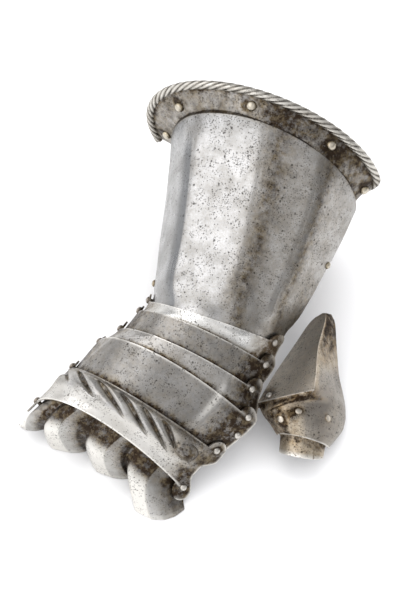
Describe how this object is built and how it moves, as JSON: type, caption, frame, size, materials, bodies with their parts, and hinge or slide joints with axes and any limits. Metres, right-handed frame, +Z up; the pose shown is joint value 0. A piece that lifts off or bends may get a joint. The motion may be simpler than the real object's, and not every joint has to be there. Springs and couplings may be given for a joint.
{
  "type": "armoured gauntlet",
  "caption": "Right-hand mitten gauntlet in steel plate: a flared cuff with a roped rim, riveted wrist lames, knuckle plate, one-piece finger plate and thumb plate.",
  "frame": {"origin": "middle of the underside of the bounding box, on the table that the gauntlet lies on", "axes": "+Z up, +Y towards the open end of the cuff, +X towards the thumb; the fingers point along -Y and a little to -X"},
  "size_m": [0.2084, 0.2594, 0.1455],
  "materials": {
    "bright_steel": "worn bright steel, finely pitted, with brown patina in its creases",
    "patinated_steel": "steel with a brown and gold patina, bright on its ridges and edges",
    "rivet_brass": "dull pale brass, domed heads"
  },
  "bodies": {
    "cuff": {"cuff_plate": "bright_steel", "cuff_inner_plate": "patinated_steel", "border_rivet_1": "rivet_brass", "border_rivet_2": "rivet_brass", "border_rivet_3": "rivet_brass", "border_rivet_4": "rivet_brass", "border_rivet_5": "rivet_brass", "cuff_side_rivet_thumb": "rivet_brass", "cuff_side_rivet_little": "rivet_brass"},
    "lame_1": {"wrist_lame_1": "bright_steel", "pivot_1_thumb": "rivet_brass", "pivot_1_little": "rivet_brass"},
    "lame_2": {"wrist_lame_2": "bright_steel", "pivot_2_thumb": "rivet_brass", "pivot_2_little": "rivet_brass"},
    "lame_3": {"wrist_lame_3": "bright_steel", "pivot_3_thumb": "rivet_brass", "pivot_3_little": "rivet_brass"},
    "metacarpal": {"metacarpal_plate": "bright_steel", "pivot_4_thumb": "rivet_brass", "pivot_4_little": "rivet_brass", "thumb_strap": "patinated_steel", "strap_rivet": "rivet_brass"},
    "knuckle": {"knuckle_plate": "bright_steel", "pivot_5_thumb": "rivet_brass", "pivot_5_little": "rivet_brass", "pivot_6_thumb": "rivet_brass", "pivot_6_little": "rivet_brass"},
    "fingers": {"finger_plate": "bright_steel"},
    "thumb": {"thumb_plate": "patinated_steel", "thumb_end_lame": "patinated_steel", "thumb_pivot": "rivet_brass", "thumb_rivet_1": "patinated_steel", "thumb_rivet_2": "patinated_steel", "thumb_rivet_3": "patinated_steel"}
  },
  "joints": [
    {"name": "lame_1_pivot", "type": "hinge", "parent": "cuff", "child": "lame_1", "pos_m": [0.00581, -0.00411, 0.04511], "axis": [0.9706, -0.1801, 0.1594], "range_deg": [0, 3]},
    {"name": "lame_2_pivot", "type": "hinge", "parent": "lame_1", "child": "lame_2", "pos_m": [0.00287, -0.01745, 0.04524], "axis": [0.9733, -0.2123, 0.0868], "range_deg": [0, 4]},
    {"name": "lame_3_pivot", "type": "hinge", "parent": "lame_2", "child": "lame_3", "pos_m": [-0.00403, -0.03324, 0.04168], "axis": [0.9709, -0.2287, 0.071], "range_deg": [0, 3]},
    {"name": "metacarpal_pivot", "type": "hinge", "parent": "lame_3", "child": "metacarpal", "pos_m": [-0.00942, -0.0472, 0.03665], "axis": [0.9656, -0.2573, 0.0375], "range_deg": [0, 5]},
    {"name": "knuckle_pivot", "type": "hinge", "parent": "metacarpal", "child": "knuckle", "pos_m": [-0.02387, -0.06785, 0.02665], "axis": [0.9542, -0.2991, -0.0053], "range_deg": [0, 8]},
    {"name": "fingers_pivot", "type": "hinge", "parent": "knuckle", "child": "fingers", "pos_m": [-0.03996, -0.0932, 0.01647], "axis": [0.9602, -0.2645, -0.0902], "range_deg": [0, 3]},
    {"name": "thumb_pivot", "type": "hinge", "parent": "metacarpal", "child": "thumb", "pos_m": [0.05362, -0.03965, 0.03051], "axis": [-0.6538, 0.278, 0.7037], "range_deg": [-2, 8]}
  ]
}
